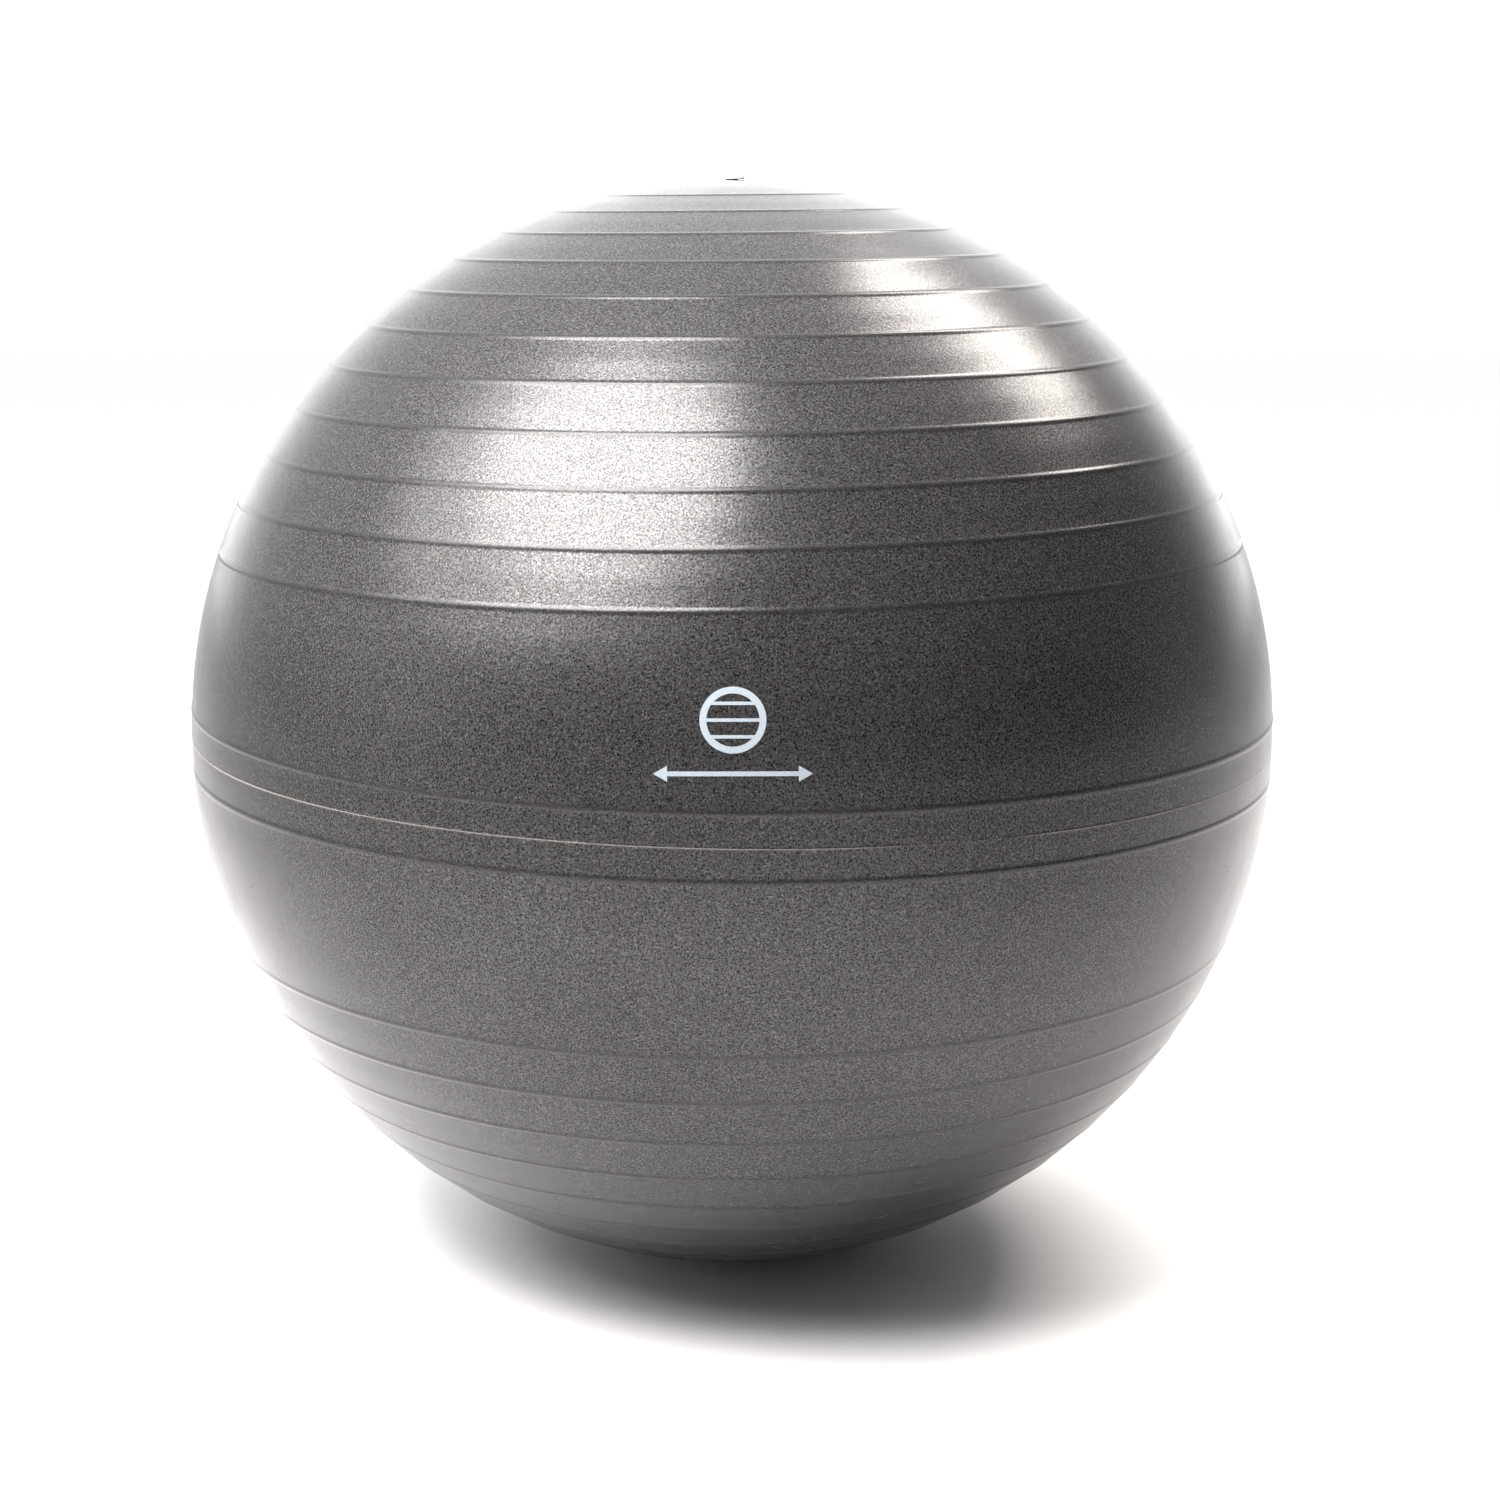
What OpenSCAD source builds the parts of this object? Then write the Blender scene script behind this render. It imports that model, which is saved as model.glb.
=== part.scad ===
// Exercise ball: a one-piece hollow PVC skin with moulded grip ribs, a valve body bonded
// into its top pole, a push-in valve plug and a printed mark on the smooth band.
// Millimetres. The origin is the middle of the patch that rests on the floor, +Z is up and
// is the axis the ribs run round, and the printed mark faces -Y.

/* [Ball] */
// Outside diameter of the inflated ball
ball_d = 650; // [450:50:850]
// Thickness of the skin
wall = 0.9; // [0.6:0.1:2]
// Radius of the flat patch where the ball presses on the floor
contact_r = 30; // [20:5:50]

/* [Ribs] */
// Height of a rib above the skin
rib_h = 0.45; // [0.4:0.05:1.2]
// Radius of a rib's rounded section
rib_r = 3.5; // [3:0.5:8]
// Number of ribs in the group round each pole
ribs_per_group = 11; // [1:1:11]
// Latitude of a group's rib nearest the middle of the ball, in degrees
first_rib_lat = 20.8; // [12:0.1:22]
// Angle from one rib of a group to the next, in degrees
rib_step = 5.61; // [3:0.01:5.7]
// Latitude of the single rib on each side of the parting line, in degrees
middle_rib_lat = 3.15; // [2.5:0.05:5]
// Height of the raised parting line
parting_h = 0.4; // [0.2:0.1:0.6]
// Radius of the parting line's rounded section
parting_r = 0.8; // [0.7:0.1:1.5]

/* [Valve body] */
// Diameter of the bore that the plug seals
bore_d = 8; // [7:0.5:9]
// Diameter of the valve body where it passes through the skin
valve_d = 24; // [20:1:28]
// Length of the valve body, from the top of the ball inwards
valve_len = 24; // [21:1:26]
// Diameter of the flange bonded to the inside of the skin
flange_d = 40; // [34:1:48]
// Thickness of the flange at its rim
flange_h = 2; // [1:0.5:4]
// Diameter of the valve body's inner end
valve_end_d = 14; // [12:1:18]

/* [Valve plug] */
// Diameter of the plug's head
head_d = 14.5; // [12:0.5:18]
// Thickness of the plug's head
head_h = 3.2; // [2.4:0.1:4]
// Height of the head's underside above the top of the ball
head_lift = 0.6; // [0.3:0.1:1.5]
// Radius of the head's rounded rim
head_round = 1.2; // [0.6:0.1:1.2]
// Length of the stem below the head
stem_len = 26; // [25:1:30]
// Gap between a sealing ring and the bore, on the radius
plug_gap = 0.05; // [0.01:0.01:0.1]
// Number of sealing rings on the stem
ring_count = 3; // [1:1:4]
// Height of a sealing ring above the stem
ring_h = 0.5; // [0.3:0.1:0.8]

/* [Printed mark] */
// Thickness of the ink
ink_h = 0.15; // [0.05:0.05:0.3]
// Latitude of the middle of the mark, in degrees
mark_lat = 10.1; // [8:0.1:12]
// Width of the mark
mark_w = 79; // [60:1:90]
// Diameter of the ball symbol in the mark
symbol_d = 33; // [24:1:34]
// Width of the mark's lines
stroke = 3.4; // [1.6:0.2:4]
// Height of the mark
mark_h = 47; // [44:1:50]

/* [Hidden] */
$fn = 180;

ball_r = ball_d / 2;
// The floor flattens the ball, so its middle is lower than its radius.
centre_z = sqrt(ball_r * ball_r - contact_r * contact_r);
top_z = centre_z + ball_r;
rib_lats = [middle_rib_lat, for (i = [0 : ribs_per_group - 1]) first_rib_lat + i * rib_step];
bore_r = bore_d / 2;
// The stem's rings run in the bore, and the stem between them is thinner.
ring_r = bore_r - plug_gap;
stem_r = ring_r - ring_h;
stem_top_z = top_z + head_lift;
tip_z = stem_top_z - stem_len;
tip_len = 4;
ring_pitch = 5;
ring_len = 1.6;
first_ring_z = stem_top_z - 4;
// The ball symbol has this many lines across it, as the ball has ribs.
symbol_lines = 3;
arrow_len = 7;
arrow_w = 8;

// A disc of radius r about the ball's middle, in the half-plane that is turned round the axis.
module ball_disc(r) {
    translate([0, centre_z])
        circle(r);
}

// A round ridge of section radius r that stands h above the skin at the given latitude.
module ridge(lat, r, h) {
    reach = ball_r + h - r;
    translate([reach * cos(lat), centre_z + reach * sin(lat)])
        circle(r);
}

// The part of the half-plane above height z.
module above(z) {
    translate([0, z])
        square([ball_d, 2 * ball_d]);
}

module shell_outline() {
    ball_disc(ball_r);
    ridge(0, parting_r, parting_h);
    for (lat = rib_lats, side = [-1, 1])
        ridge(side * lat, rib_r, rib_h);
}

// The hollow skin: one moulding, flat where it stands, with a hole at the top for the valve.
module ball_shell() {
    color("dimgray")
        rotate_extrude()
            difference() {
                intersection() {
                    shell_outline();
                    above(0);
                }
                intersection() {
                    ball_disc(ball_r - wall);
                    above(wall);
                }
                translate([0, centre_z])
                    square([valve_d / 2, ball_d]);
            }
}

// The neck of the valve body fills the skin's hole, and the flange spreads it inside.
module valve_outline() {
    flange_z = centre_z + sqrt(pow(ball_r - wall, 2) - pow(flange_d / 2, 2)) - flange_h;
    intersection() {
        ball_disc(ball_r);
        translate([0, flange_z])
            square([valve_d / 2, ball_d]);
    }
    intersection() {
        ball_disc(ball_r - wall);
        translate([0, flange_z])
            square([flange_d / 2, ball_d]);
    }
    polygon([
        [0, top_z - valve_len],
        [valve_end_d / 2, top_z - valve_len],
        [valve_d / 2, flange_z],
        [0, flange_z]
    ]);
}

// Soft, thick-walled body that grips the plug.
module valve_insert() {
    color("gray")
        rotate_extrude()
            difference() {
                valve_outline();
                square([bore_r, 2 * ball_d]);
            }
}

// The head is a disc with a rounded rim.
module plug_head() {
    top = stem_top_z + head_h;
    rim = head_d / 2 - head_round;
    translate([0, stem_top_z])
        square([rim, head_h]);
    translate([0, stem_top_z + head_round])
        square([head_d / 2, head_h - 2 * head_round]);
    for (z = [stem_top_z + head_round, top - head_round])
        translate([rim, z])
            circle(head_round);
}

// The stem tapers to its tip, and its rings have a slope on the side that goes in first.
module plug_stem() {
    polygon([
        [0, tip_z],
        [stem_r * 0.6, tip_z],
        [stem_r, tip_z + tip_len],
        [stem_r, stem_top_z],
        [0, stem_top_z]
    ]);
    for (i = [0 : ring_count - 1]) {
        z = first_ring_z - i * ring_pitch;
        polygon([
            [0, z - ring_len],
            [stem_r, z - ring_len],
            [ring_r, z - ring_len / 2],
            [ring_r, z],
            [0, z]
        ]);
    }
}

module valve_plug() {
    color("ivory")
        rotate_extrude() {
            plug_head();
            plug_stem();
        }
}

// A plain symbol of a ribbed ball.
module ball_symbol() {
    gap = symbol_d / (symbol_lines + 1);
    difference() {
        circle(d = symbol_d);
        circle(d = symbol_d - 2 * stroke);
    }
    intersection() {
        circle(d = symbol_d - stroke);
        for (i = [1 : symbol_lines])
            translate([-symbol_d / 2, i * gap - symbol_d / 2 - stroke / 4])
                square([symbol_d, stroke / 2]);
    }
}

// A line with an arrowhead at each end.
module size_arrow() {
    reach = mark_w / 2;
    square([mark_w - arrow_len, stroke * 0.7], center = true);
    for (turn = [0, 180])
        rotate(turn)
            polygon([
                [reach, 0],
                [reach - arrow_len, arrow_w / 2],
                [reach - arrow_len, -arrow_w / 2]
            ]);
}

// The mark, flat, with its middle at the origin.
module mark_outline() {
    translate([0, mark_h / 2 - symbol_d / 2])
        ball_symbol();
    translate([0, arrow_w / 2 - mark_h / 2])
        size_arrow();
}

// The ink lies on the skin: the flat mark is pressed through a thin layer round the ball.
module printed_mark() {
    color("lightsteelblue")
        translate([0, 0, centre_z])
            difference() {
                intersection() {
                    sphere(ball_r + ink_h);
                    rotate([90 - mark_lat, 0, 0])
                        linear_extrude(height = ball_d)
                            mark_outline();
                }
                sphere(ball_r);
            }
}

ball_shell();
valve_insert();
valve_plug();
printed_mark();
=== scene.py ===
import math

import bpy
import numpy as np
from mathutils import Matrix, Vector


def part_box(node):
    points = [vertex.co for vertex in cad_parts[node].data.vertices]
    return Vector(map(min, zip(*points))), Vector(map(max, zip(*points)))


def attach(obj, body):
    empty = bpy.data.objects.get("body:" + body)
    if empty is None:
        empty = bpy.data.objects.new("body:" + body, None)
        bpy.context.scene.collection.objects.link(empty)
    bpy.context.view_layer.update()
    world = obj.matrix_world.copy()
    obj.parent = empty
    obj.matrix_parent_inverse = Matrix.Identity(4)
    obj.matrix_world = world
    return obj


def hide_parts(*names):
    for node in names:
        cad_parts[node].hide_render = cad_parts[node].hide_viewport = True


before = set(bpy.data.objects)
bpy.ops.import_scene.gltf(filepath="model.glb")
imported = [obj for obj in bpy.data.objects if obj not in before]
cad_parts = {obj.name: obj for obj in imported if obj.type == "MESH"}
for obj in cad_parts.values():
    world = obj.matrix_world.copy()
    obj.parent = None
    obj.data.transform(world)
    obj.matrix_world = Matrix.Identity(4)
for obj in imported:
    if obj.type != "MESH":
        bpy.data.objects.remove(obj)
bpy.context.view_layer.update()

MM = 0.001

# The ball, in metres: the frame's sizes, and the small ones that a box can't give.
PARTING_H = 0.4 * MM
PARTING_HALF = 0.5 * MM
WALL = 0.9 * MM
VALVE_R = 12 * MM
BALL_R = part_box("ball_shell")[1].x - PARTING_H
CONTACT_R = 30 * MM
CENTRE_Z = math.sqrt(BALL_R**2 - CONTACT_R**2)
BALL_CENTRE = Vector((0, 0, CENTRE_Z))

# Ribs: their height, half width and latitudes in degrees.
RIB_H = 0.45 * MM
RIB_HALF = 2.5 * MM
MIDDLE_RIB_LAT = 3.15
FIRST_RIB_LAT = 20.8
RIB_STEP = 5.61
RIBS_PER_GROUP = 11
RIB_LATS = [MIDDLE_RIB_LAT] + [FIRST_RIB_LAT + RIB_STEP * i for i in range(RIBS_PER_GROUP)]

# How many degrees the ribs are out of level, in the upper group and at the middle.
UPPER_LEAN = 0.5
MIDDLE_LEAN = 0.85

# The skin's mesh: points round it, rings on a rib, the widest step between rings in degrees,
# the rings by the parting line in mm from it, and the rings inside.
SEGMENTS = 256
RIB_RINGS = 11
WIDEST_STEP = 1.6
PARTING_RINGS = (-1.2, -0.5, -0.32, -0.16, 0, 0.16, 0.32, 0.5, 1.2)
PATCH_RADII = (22 * MM, 14 * MM, 6 * MM, 0)
INNER_PATCH_RADII = (0, 10 * MM, 20 * MM)
INNER_RINGS = 30


# ---------------------------------------------------------------- mesh helpers

def new_object(name, verts, faces, material, crease_deg=40):
    """A smooth-shaded mesh object whose edges stay sharp above crease_deg."""
    mesh = bpy.data.meshes.new(name)
    mesh.from_pydata([tuple(v) for v in verts], [], faces)
    mesh.validate()
    mesh.polygons.foreach_set("use_smooth", [True] * len(mesh.polygons))
    mesh.set_sharp_from_angle(angle=math.radians(crease_deg))
    mesh.materials.append(material)
    obj = bpy.data.objects.new(name, mesh)
    bpy.context.scene.collection.objects.link(obj)
    return obj


def ring_faces(rings):
    """Quads between neighbouring rings of vertex numbers; a ring of one vertex makes a fan."""
    faces = []
    for a, b in zip(rings, rings[1:]):
        n = max(len(a), len(b))
        for i in range(n):
            j = (i + 1) % n
            if len(a) == 1:
                faces.append((a[0], b[i], b[j]))
            elif len(b) == 1:
                faces.append((a[i], b[0], a[j]))
            else:
                faces.append((a[i], b[i], b[j], a[j]))
    return faces


def lathe(name, profile, material, segments=96, closed=False, crease_deg=40):
    """A solid turned about the ball's axis, from (radius, height) points down its outside."""
    verts, rings = [], []
    for r, z in profile:
        n = 1 if r < 1e-7 else segments
        rings.append(list(range(len(verts), len(verts) + n)))
        for i in range(n):
            a = 2 * math.pi * i / n
            verts.append((r * math.sin(a), -r * math.cos(a), z))
    if closed:
        rings.append(rings[0])
    return new_object(name, verts, ring_faces(rings), material, crease_deg)


def arc(centre_r, centre_z, radius, start_deg, end_deg, steps):
    """Points of an arc in the (radius, height) plane, where 0 degrees is outwards and 90 is up."""
    angles = np.radians(np.linspace(start_deg, end_deg, steps))
    return [(centre_r + radius * math.cos(a), centre_z + radius * math.sin(a)) for a in angles]


def waves(angle, seed, lowest=2, count=6):
    """A smooth repeatable value of about -1 to 1 that varies round the ball."""
    total = 0
    for k in range(count):
        total = total + np.sin((lowest + 3 * k) * angle + seed * (k + 1.7)) / (1 + 0.5 * k)
    return total / 2


# ---------------------------------------------------------------- node helpers

class Nodes:
    """A short way to write a node tree."""

    def __init__(self, tree):
        self.tree = tree
        tree.nodes.clear()

    def add(self, kind, inputs=None, **settings):
        node = self.tree.nodes.new("ShaderNode" + kind)
        for key, value in settings.items():
            setattr(node, key, value)
        for key, value in (inputs or {}).items():
            self.put(node, key, value)
        return node

    def put(self, node, key, value):
        if isinstance(value, bpy.types.NodeSocket):
            self.tree.links.new(value, node.inputs[key])
        else:
            node.inputs[key].default_value = value

    def maths(self, operation, a, b=0.0, clamp=False):
        return self.add("Math", {0: a, 1: b}, operation=operation, use_clamp=clamp).outputs[0]

    def noise(self, vector, scale, detail=2.0, roughness=0.5):
        inputs = {"Vector": vector, "Scale": scale, "Detail": detail, "Roughness": roughness}
        return self.add("TexNoise", inputs).outputs["Fac"]

    def remap(self, value, low, high, to_low, to_high):
        inputs = {"Value": value, "From Min": low, "From Max": high}
        inputs.update({"To Min": to_low, "To Max": to_high})
        return self.add("MapRange", inputs).outputs["Result"]

    def blend(self, factor, a, b):
        node = self.add("Mix", data_type="RGBA")
        self.put(node, 0, factor)
        self.put(node, 6, a)
        self.put(node, 7, b)
        return node.outputs[2]


def new_material(name):
    material = bpy.data.materials.new(name)
    material.use_nodes = True
    return material, Nodes(material.node_tree)


# ---------------------------------------------------------------- materials

# The skin: its dark ground and its light specks in a cool and a warm tint, how strong the
# speckle is, and its gloss.
SKIN_DARK_COOL = (0.000, 0.000, 0.001, 1)
SKIN_DARK_WARM = (0.001, 0.000, 0.000, 1)
SKIN_COOL = (0.111, 0.114, 0.121, 1)
SKIN_WARM = (0.132, 0.124, 0.122, 1)
SPECKLE = 1.2
SKIN_METAL = 0.5
SKIN_ROUGHNESS = 0.26
ROUGHNESS_SPREAD = 0.02
SKIN_IOR = 1.34
# The parting line's cream colour, partly the flash's own lighter PVC and partly a painted highlight;
# how much darker the ribs are painted, as painted shade; and how much plainer their speckle is than
# the skin round them.
FLASH_HIGHLIGHT_COLOUR = (0.34, 0.30, 0.26, 1)
# The ribs' darker colour is painted shade: it stands in for the shade along their flanks and in the
# creases beside them.
RIB_PAINTED_SHADE = 0.8
RIB_SPECKLE = 0.55
# How fine the skin's patterns are, in cells per metre.
PEBBLES = 1000.0
FLECKS = 1500.0
DIMPLES = 620.0
TINT = 800.0
HAZE = 40.0
CLOUDS = 9.0

# The plug's two tones, the ink where it is full and where it is thin, and the floor.
PLUG_DARK = (0.66, 0.62, 0.54, 1)
PLUG_PALE = (0.72, 0.69, 0.63, 1)
INK_FULL = (0.185, 0.212, 0.240, 1)
INK_THIN = (0.115, 0.130, 0.146, 1)
PLASTIC_IOR = 1.5
FLOOR_COLOUR = (0.885, 0.875, 0.885, 1)


def skin_material(name, contrast=1.0):
    """Graphite PVC, finely speckled, with a soft sheen; contrast scales the speckle."""
    material, n = new_material(name)
    place = n.add("TexCoord").outputs["Object"]
    rib = n.add("Attribute", attribute_name="rib").outputs["Fac"]
    flash_highlight = n.add("Attribute", attribute_name="flash_highlight").outputs["Fac"]

    pebbles = n.noise(place, PEBBLES, 0.0, 0.5)
    flecks = n.noise(place, FLECKS, 0.0, 0.5)
    dimples = n.noise(place, DIMPLES, 1.0, 0.5)
    tint = n.noise(place, TINT, 0.0, 0.5)
    clouds = n.noise(place, CLOUDS, 3.0, 0.6)
    haze = n.noise(place, HAZE, 3.0, 0.6)

    speckle = n.maths("ADD", n.maths("MULTIPLY", pebbles, 0.6), n.maths("MULTIPLY", flecks, 0.4))
    strength = n.remap(rib, 0.0, 1.0, SPECKLE * contrast, RIB_SPECKLE * SPECKLE * contrast)
    offset = n.maths("MULTIPLY", n.maths("SUBTRACT", speckle, 0.5), strength)
    level = n.maths("ADD", offset, n.remap(clouds, 0.3, 0.7, 0.48, 0.52), clamp=True)
    level = n.maths("POWER", level, 2.0)
    # Painted shade: the ribs' colour is made darker, standing in for the shade along them.
    level = n.maths("MULTIPLY", level, n.remap(rib, 0.0, 1.0, 1.0, RIB_PAINTED_SHADE))
    cool = n.blend(level, SKIN_DARK_COOL, SKIN_COOL)
    warm = n.blend(level, SKIN_DARK_WARM, SKIN_WARM)
    grey = n.blend(n.remap(tint, 0.35, 0.65, 0.0, 1.0), cool, warm)
    # The parting line's cream colour: partly its own lighter PVC, partly a painted highlight that is
    # strongest on the side the key light falls on.
    colour = n.blend(flash_highlight, grey, FLASH_HIGHLIGHT_COLOUR)

    relief = n.maths("ADD", dimples, n.maths("MULTIPLY", haze, 0.6))
    bump = n.add("Bump", {"Height": relief, "Strength": 0.12, "Distance": 0.0004})
    glossy, dull = SKIN_ROUGHNESS - ROUGHNESS_SPREAD, SKIN_ROUGHNESS + ROUGHNESS_SPREAD
    shader = n.add("BsdfPrincipled", {
        "Base Color": colour,
        "Metallic": SKIN_METAL,
        "Roughness": n.remap(haze, 0.3, 0.7, glossy, dull),
        "IOR": SKIN_IOR,
        "Normal": bump.outputs["Normal"],
    })
    n.add("OutputMaterial", {"Surface": shader.outputs["BSDF"]})
    return material


def plug_material():
    """Milky white moulded plastic, slightly translucent and faintly mottled."""
    material, n = new_material("plug_white")
    place = n.add("TexCoord").outputs["Object"]
    clouds = n.noise(place, 160.0, 3.0, 0.6)
    fine = n.noise(place, 1800.0, 2.0, 0.5)
    colour = n.blend(clouds, PLUG_DARK, PLUG_PALE)
    bump = n.add("Bump", {"Height": fine, "Strength": 0.15, "Distance": 0.0002})
    shader = n.add("BsdfPrincipled", {
        "Base Color": colour,
        "Roughness": n.remap(fine, 0.3, 0.7, 0.32, 0.45),
        "IOR": PLASTIC_IOR,
        "Subsurface Weight": 0.15,
        "Subsurface Radius": (0.004, 0.003, 0.002),
        "Subsurface Scale": 1.0,
        "Normal": bump.outputs["Normal"],
    })
    n.add("OutputMaterial", {"Surface": shader.outputs["BSDF"]})
    return material


def ink_material():
    """Pad-printed pale blue-grey ink that lets a little of the skin's grain through."""
    material, n = new_material("mark_ink")
    place = n.add("TexCoord").outputs["Object"]
    pebbles = n.noise(place, 820.0, 1.5, 0.6)
    patches = n.noise(place, 90.0, 3.0, 0.6)
    gaps = n.remap(pebbles, 0.30, 0.62, 1.0, 0.0)
    thin = n.maths("MULTIPLY", gaps, n.remap(patches, 0.3, 0.7, 0.15, 0.4))
    colour = n.blend(thin, INK_FULL, INK_THIN)
    bump = n.add("Bump", {"Height": pebbles, "Strength": 0.25, "Distance": 0.0004})
    shader = n.add("BsdfPrincipled", {
        "Base Color": colour,
        "Roughness": n.remap(patches, 0.3, 0.7, 0.42, 0.55),
        "IOR": PLASTIC_IOR,
        "Normal": bump.outputs["Normal"],
    })
    n.add("OutputMaterial", {"Surface": shader.outputs["BSDF"]})
    return material


def floor_material():
    material, n = new_material("studio_floor")
    shader = n.add("BsdfDiffuse", {"Color": FLOOR_COLOUR})
    n.add("OutputMaterial", {"Surface": shader.outputs["BSDF"]})
    return material


# ---------------------------------------------------------------- the skin

def rib_lean(lat):
    """How many degrees a rib at this latitude is out of level: the moulding isn't quite true."""
    upper = np.clip((lat - 6) / 12, 0, 1) * np.clip((84 - lat) / 6, 0, 1)
    middle = np.clip(1 - np.abs(lat) / 12, 0, 1)
    return UPPER_LEAN * upper - MIDDLE_LEAN * middle


def outer_latitudes():
    """Latitudes in degrees, from the valve's hole down to the floor patch, closest on the ribs."""
    top = math.degrees(math.acos(VALVE_R / BALL_R))
    bottom = -math.degrees(math.asin(CENTRE_Z / BALL_R))
    per_metre = math.degrees(1 / BALL_R)
    half = RIB_HALF * per_metre
    lats = {top, bottom}
    for lat in [side * lat for lat in RIB_LATS for side in (-1, 1)]:
        lats.update(lat + half * t for t in np.linspace(-1.05, 1.05, RIB_RINGS))
    for mm in PARTING_RINGS:
        lats.add(mm * MM * per_metre)
    known = sorted(lats, reverse=True)
    filled = [known[0]]
    for lat in known[1:]:
        gap = filled[-1] - lat
        steps = max(1, math.ceil(gap / WIDEST_STEP))
        start = filled[-1]
        filled += [start - gap * (k + 1) / steps for k in range(steps)]
    return np.array(filled)


def skin_relief(lat, lon):
    """(height above the sphere, share of rib, share of the parting line's cream colour and painted
    highlight) round one latitude.
    """
    height, share, flash_highlight = np.zeros_like(lon), 0.0, np.zeros_like(lon)
    for i, rib in enumerate([side * lat_i for lat_i in RIB_LATS for side in (-1, 1)]):
        t = math.radians(lat - rib) * BALL_R / RIB_HALF
        if abs(t) < 1:
            bump = (1 - t * t) ** 2
            height = height + RIB_H * bump * (0.9 + 0.1 * waves(lon, 2.3 * i))
            share = max(share, min(1.0, 1.6 * bump))
    t = math.radians(lat) * BALL_R / PARTING_HALF
    if abs(t) < 1:
        # The parting line is fuller, and its cream colour brighter as a painted highlight, on the
        # left where the key light falls; it fades and breaks towards the right.
        whole_and_lit = np.clip(0.5 - 0.5 * np.sin(lon + 0.3) + 0.3 * waves(lon, 5.1, 7, 7), 0.02, 1.0)
        height = height + PARTING_H * (1 - t * t) * (0.1 + 0.9 * whole_and_lit)
        flash_highlight = np.clip(1 - 1.6 * abs(t), 0, 1) * whole_and_lit
    return height, share, flash_highlight


def build_skin(material):
    lon = np.linspace(0, 2 * math.pi, SEGMENTS, endpoint=False)
    verts, rings, ribs, flash_highlights = [], [], [], []

    def add_ring(points, share=0.0, flash_highlight=None):
        rings.append(list(range(len(verts), len(verts) + len(points))))
        verts.extend(points)
        ribs.extend([share] * len(points))
        flash_highlights.extend([0.0] * len(points) if flash_highlight is None else flash_highlight)

    def circle(radius, z):
        if radius < 1e-7:
            return [(0, 0, z)]
        return [(radius * math.sin(a), -radius * math.cos(a), z) for a in lon]

    for lat in outer_latitudes():
        height, share, flash_highlight = skin_relief(lat, lon)
        lean = np.radians(rib_lean(lat)) * np.sin(lon)
        phi = math.radians(lat) + lean
        reach = BALL_R + height
        x, y = reach * np.cos(phi) * np.sin(lon), -reach * np.cos(phi) * np.cos(lon)
        z = np.maximum(CENTRE_Z + reach * np.sin(phi), 0)
        add_ring(list(zip(x, y, z)), share, flash_highlight)
    for radius in PATCH_RADII:
        add_ring(circle(radius, 0))
    inner_r = BALL_R - WALL
    floor_lat = -math.asin((CENTRE_Z - WALL) / inner_r)
    hole_lat = math.acos(VALVE_R / inner_r)
    for radius in INNER_PATCH_RADII:
        add_ring(circle(radius, WALL))
    for phi in np.linspace(floor_lat, hole_lat, INNER_RINGS):
        add_ring(circle(inner_r * math.cos(phi), CENTRE_Z + inner_r * math.sin(phi)))
    rings.append(rings[0])
    skin = new_object("ball_skin", verts, ring_faces(rings), material, 50)
    for name, values in (("rib", ribs), ("flash_highlight", flash_highlights)):
        attribute = skin.data.attributes.new(name, "FLOAT", "POINT")
        attribute.data.foreach_set("value", np.array(values, np.float32))
    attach(skin, "ball")
    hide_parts("ball_shell")
    return skin


# ---------------------------------------------------------------- the valve

def on_ball(radius, drop=0.0):
    """Height of the ball's surface, or of one drop below it, at this distance from the axis."""
    return CENTRE_Z + math.sqrt((BALL_R - drop) ** 2 - radius**2)


def build_valve_body(material):
    """A soft boss whose face is flush with the skin, with a rounded lip round the bore."""
    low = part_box("valve_insert")[0].z
    flange_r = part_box("valve_insert")[1].x
    bore = 4 * MM
    end_r = 7 * MM
    gap = 0.05 * MM
    neck = VALVE_R - gap
    lip = 0.7 * MM
    flange_top = on_ball(flange_r, WALL) - gap
    flange_low = flange_top - 2 * MM
    profile = arc(bore + lip, on_ball(bore) - lip, lip, 180, 90, 7)
    profile += [(r * MM, on_ball(r * MM) - 0.02 * MM) for r in (6, 8, 10, 11.4)]
    profile += arc(neck - 0.3 * MM, on_ball(neck) - 0.35 * MM, 0.3 * MM, 80, 0, 5)
    profile += [(neck, on_ball(neck, WALL) - gap)]
    profile += [(r * MM, on_ball(r * MM, WALL) - gap) for r in (15, 18)]
    edge, fillet = 0.6 * MM, 2 * MM
    profile += arc(flange_r - edge, flange_top - edge, edge, 80, 0, 5)
    profile += arc(flange_r - edge, flange_low + edge, edge, 0, -90, 5)
    profile += arc(VALVE_R + fillet, flange_low - fillet, fillet, 90, 180, 6)
    profile += arc(end_r - 1 * MM, low + 1 * MM, 1 * MM, 10, -90, 6)
    profile += arc(bore + 0.5 * MM, low + 0.5 * MM, 0.5 * MM, -90, -180, 5)
    body = lathe("valve_body", profile, material, 96, closed=True)
    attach(body, "ball")
    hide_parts("valve_insert")
    return body


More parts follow.
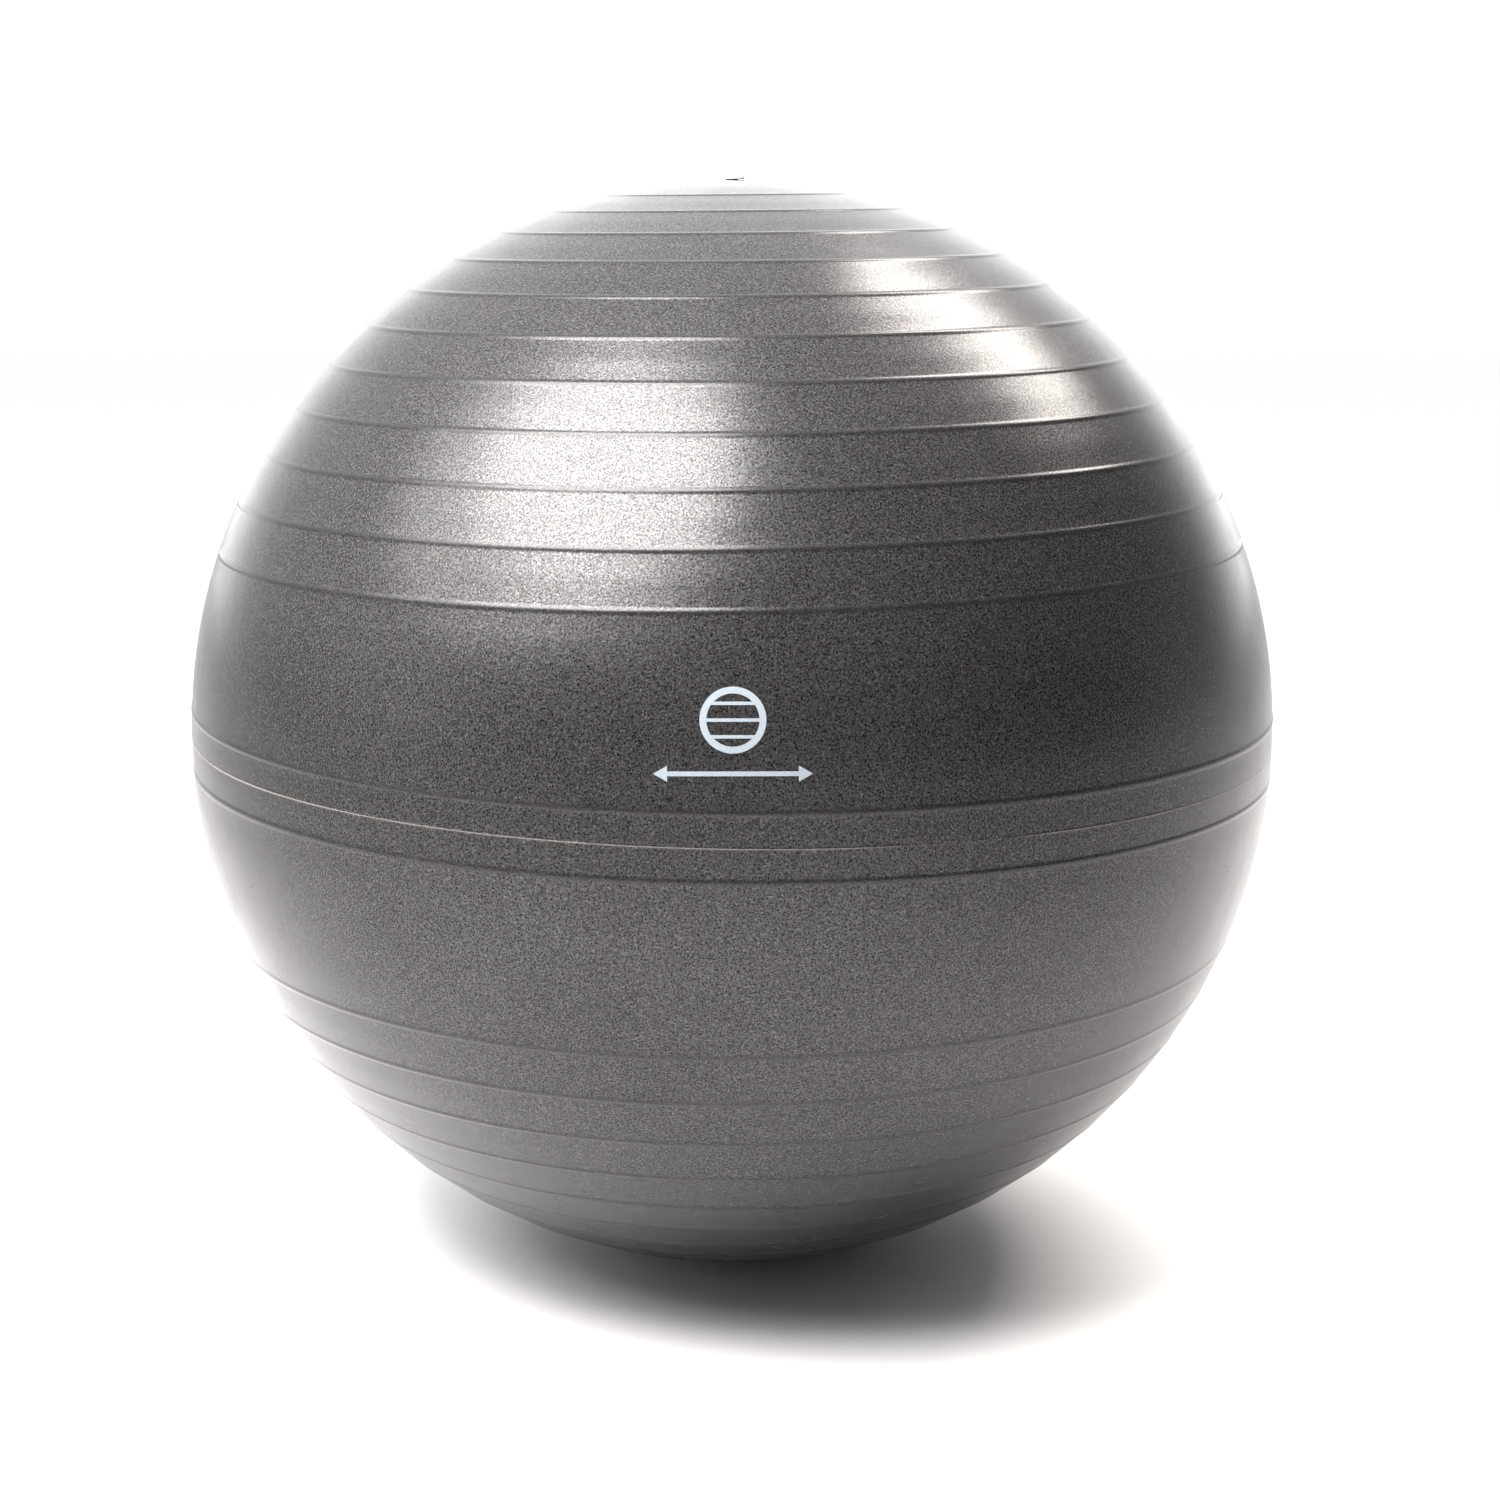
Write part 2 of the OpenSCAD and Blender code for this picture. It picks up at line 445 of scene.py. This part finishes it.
def build_plug(material):
    """A push-in plug: a softly domed head with a small gate dimple, and a stem with three rings."""
    low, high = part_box("valve_plug")
    head_r, top = high.x, high.z
    head_h = 3.2 * MM
    under = top - head_h
    rim = 1.3 * MM
    stem_r, ring_r = 3.45 * MM, 3.95 * MM
    under_edge, ring_edge, tip_edge = 0.5 * MM, 0.2 * MM, 0.6 * MM
    profile = [(0, top - 0.75 * MM), (0.5 * MM, top - 0.72 * MM), (0.9 * MM, top - 0.45 * MM)]
    profile += arc(1.6 * MM, top - 0.45 * MM, 0.45 * MM, 150, 90, 5)
    profile += [(3.0 * MM, top - 0.03 * MM), (4.4 * MM, top - 0.12 * MM)]
    profile += arc(head_r - rim, top - 0.2 * MM - rim, rim, 80, 0, 9)
    profile += arc(head_r - under_edge, under + under_edge, under_edge, 0, -90, 6)
    profile += arc(stem_r + under_edge, under - under_edge, under_edge, 90, 180, 5)
    for i in range(3):
        z = under - (4 + 5 * i) * MM
        profile += [(stem_r, z + 0.1 * MM)]
        profile += arc(ring_r - ring_edge, z - ring_edge, ring_edge, 90, 0, 4)
        profile += [(ring_r, z - 0.8 * MM), (stem_r, z - 1.6 * MM)]
    profile += [(stem_r, low.z + 4 * MM)]
    profile += arc(stem_r * 0.6 - tip_edge, low.z + tip_edge, tip_edge, 15, -90, 6)
    profile += [(0, low.z)]
    plug = lathe("plug", profile, material, 80)
    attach(plug, "plug")
    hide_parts("valve_plug")
    return plug


# ---------------------------------------------------------------- the printed mark

# The mark's latitude, size, ball symbol and line width, and its ink above and below the skin.
MARK_LAT = math.radians(10.1)
MARK_W, MARK_H = 79 * MM, 47 * MM
SYMBOL_R = 16.5 * MM
STROKE = 3.4 * MM
INK_H = 0.12 * MM
INK_SINK = 0.03 * MM


def pressed(u, v, lift):
    """The point lift above the skin that lies straight behind (u, v) of the flat mark."""
    reach = BALL_R + lift
    depth = math.sqrt(reach**2 - u * u - v * v)
    c, s = math.cos(MARK_LAT), math.sin(MARK_LAT)
    return (u, -depth * c + v * s, CENTRE_Z + depth * s + v * c)


class InkPatches:
    """Thin closed patches of ink on the skin, each from a grid of flat points."""

    def __init__(self):
        self.verts, self.faces = [], []

    def add(self, grid, joined=False):
        """grid is rows of (u, v); joined closes each row into a loop."""
        rows, cols = len(grid), len(grid[0])
        base = len(self.verts)
        for lift in (INK_H, -INK_SINK):
            for row in grid:
                self.verts += [pressed(u, v, lift) for u, v in row]
        under = rows * cols

        def number(r, c, low):
            return base + low * under + r * cols + c % cols

        last = cols if joined else cols - 1
        for c in range(last):
            for r in range(rows - 1):
                corners = ((r, c), (r, c + 1), (r + 1, c + 1), (r + 1, c))
                top = [number(row, col, 0) for row, col in corners]
                self.faces.append(tuple(top))
                self.faces.append(tuple(i + under for i in reversed(top)))
            for r, order in ((0, 1), (rows - 1, -1)):
                self.add_wall([number(r, c, 1), number(r, c + 1, 1)],
                              [number(r, c + 1, 0), number(r, c, 0)], order)
        if not joined:
            for r in range(rows - 1):
                for c, order in ((0, -1), (cols - 1, 1)):
                    self.add_wall([number(r, c, 1), number(r + 1, c, 1)],
                                  [number(r + 1, c, 0), number(r, c, 0)], order)

    def add_wall(self, under, over, order):
        """One face between two lower and two upper vertices, wound forwards or backwards."""
        self.faces.append(tuple((under + over)[::order]))


def build_mark(material):
    """A plain ribbed-ball symbol over a double-ended arrow."""
    ink = InkPatches()
    ball_v = MARK_H / 2 - SYMBOL_R
    arrow_w, arrow_len = 8 * MM, 7 * MM
    arrow_v = arrow_w / 2 - MARK_H / 2
    turns = np.linspace(0, 2 * math.pi, 120, endpoint=False)
    radii = np.linspace(SYMBOL_R - STROKE, SYMBOL_R, 4)
    hoop = [[(r * math.cos(a), ball_v + r * math.sin(a)) for a in turns] for r in radii]
    ink.add(hoop, joined=True)
    inner = SYMBOL_R - STROKE
    for line in (-1, 0, 1):
        middle = line * SYMBOL_R / 2
        grid = []
        for v in (middle - STROKE / 4, middle + STROKE / 4):
            half = math.sqrt(inner**2 - v * v)
            grid.append([(u, ball_v + v) for u in np.linspace(-half, half, 24)])
        ink.add(grid)
    half_line = MARK_W / 2 - arrow_len
    thick = STROKE * 0.35
    across = np.linspace(-half_line, half_line, 40)
    ink.add([[(u, arrow_v + side * thick) for u in across] for side in (-1, 1)])
    for side in (-1, 1):
        shares = np.linspace(0.02, 1, 8)[::side]
        grid = []
        for t in (-1, -thick / (arrow_w / 2), thick / (arrow_w / 2), 1):
            row = []
            for s in shares[::-1]:
                row.append((side * (MARK_W / 2 - arrow_len * s), arrow_v + t * s * arrow_w / 2))
            grid.append(row)
        ink.add(grid)
    mark = new_object("mark_print", ink.verts, ink.faces, material, 40)
    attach(mark, "ball")
    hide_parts("printed_mark")
    return mark


# ---------------------------------------------------------------- the studio

# The camera, found from the ball's outline: metres from the ball's centre, how far above level it
# stands, how far it turns and dips off the centre, and its lens and sensor in mm.
CAMERA_DISTANCE = 1.641
CAMERA_ELEVATION = math.radians(11.2)
CAMERA_TURN = math.radians(0.373)
CAMERA_DIP = math.radians(0.608)
LENS_MM = 64.2
SENSOR_MM = 36

KEY_SIDE = (0.86, -0.43, 0.24)
KEY_COLOUR = (1.0, 0.98, 0.955)
STRIP_SIDE = (0.85, -0.18, -0.49)
STRIP_COLOUR = (1.0, 0.945, 0.88)

# name: (shape, place from the ball's centre, long side's direction, length, width, radiance, colour)
LIGHTS = {
    "key_softbox": ("ELLIPSE", (-0.51, -0.53, 0.80), KEY_SIDE, 1.25, 1.0, 8.5, KEY_COLOUR),
    "key_core": ("ELLIPSE", (-0.38, -0.53, 0.86), KEY_SIDE, 0.83, 0.83, 22.5, KEY_COLOUR),
    "strip": ("RECTANGLE", (0.93, 0.56, 1.42), STRIP_SIDE, 1.0, 0.5, 25.0, STRIP_COLOUR),
}
LIGHT_FILL = {"ELLIPSE": math.pi / 4, "RECTANGLE": 1.0}

# name: (direction the light comes from, how narrow it is, strength): the bright walls and ceiling.
WALLS = {
    "back_left": ((-0.5, 0.85, -0.05), 16, 2.8),
    "back_right": ((0.5, 0.85, -0.05), 16, 3.0),
    "left": ((-0.95, -0.3, 0.05), 30, 1.3),
    "right": ((0.96, 0.2, 0.05), 20, 0.5),
    "left_ceiling": ((-0.8, 0.2, 0.57), 6, 1.9),
    "front_left": ((-0.75, -0.66, 0.1), 12, 0.5),
    "back": ((0.0, 0.95, 0.3), 14, 1.6),
    "ceiling_back": ((0.05, 0.75, 0.66), 6, 1.75),
    "ceiling": ((0, 0, 1), 6, 1.7),
}
# How bright the backdrop is to the camera, and half the floor's width in metres.
BACKDROP = 1.02
FLOOR_HALF = 9.0


def build_lights():
    for name, (shape, place, long_side, length, width, radiance, colour) in LIGHTS.items():
        data = bpy.data.lights.new(name, "AREA")
        data.shape = shape
        data.size, data.size_y = length, width
        data.energy = radiance * math.pi * length * width * LIGHT_FILL[shape]
        data.color = colour
        light = bpy.data.objects.new(name, data)
        out = Vector(place).normalized()
        along = Vector(long_side)
        along = (along - along.dot(out) * out).normalized()
        turn = Matrix((along, out.cross(along), out)).transposed().to_4x4()
        light.matrix_world = Matrix.Translation(BALL_CENTRE + Vector(place)) @ turn
        light.visible_camera = False
        bpy.context.scene.collection.objects.link(light)


def build_world():
    """Soft light from the studio's white walls; the camera itself sees a plain white backdrop."""
    world = bpy.data.worlds.new("studio")
    bpy.context.scene.world = world
    world.use_nodes = True
    n = Nodes(world.node_tree)
    way = n.add("TexCoord").outputs["Generated"]
    glow = 0.0
    for side, narrow, strength in WALLS.values():
        inputs = {0: way, 1: Vector(side).normalized()}
        towards = n.add("VectorMath", inputs, operation="DOT_PRODUCT")
        share = n.maths("POWER", n.maths("MAXIMUM", towards.outputs["Value"], 0.0), narrow)
        glow = n.maths("ADD", n.maths("MULTIPLY", share, strength), glow)
    room = n.add("Background", {"Color": (1, 1, 1, 1), "Strength": glow})
    plain = n.add("Background", {"Color": (1, 1, 1, 1), "Strength": BACKDROP})
    seen = n.add("LightPath").outputs["Is Camera Ray"]
    mix = n.add("MixShader", {0: seen, 1: room.outputs[0], 2: plain.outputs[0]})
    n.add("OutputWorld", {"Surface": mix.outputs[0]})


def build_floor():
    half = FLOOR_HALF
    verts = [(-half, -half, 0), (half, -half, 0), (half, half, 0), (-half, half, 0)]
    floor = new_object("studio_floor", verts, [(0, 1, 2, 3)], floor_material())


def build_camera():
    data = bpy.data.cameras.new("camera")
    data.lens = LENS_MM
    data.sensor_width = SENSOR_MM
    data.clip_start, data.clip_end = 0.05, 60
    camera = bpy.data.objects.new("camera", data)
    e = CAMERA_ELEVATION
    camera.location = BALL_CENTRE + CAMERA_DISTANCE * Vector((0, -math.cos(e), math.sin(e)))
    camera.rotation_euler = (math.pi / 2 - e - CAMERA_DIP, 0, -CAMERA_TURN)
    bpy.context.scene.collection.objects.link(camera)
    bpy.context.scene.camera = camera


def build_scene():
    bpy.context.scene.view_settings.view_transform = "Standard"
    build_camera()
    build_world()
    build_floor()
    build_lights()
    build_skin(skin_material("ball_skin"))
    build_valve_body(skin_material("valve_body", 0.7))
    build_plug(plug_material())
    build_mark(ink_material())


build_scene()
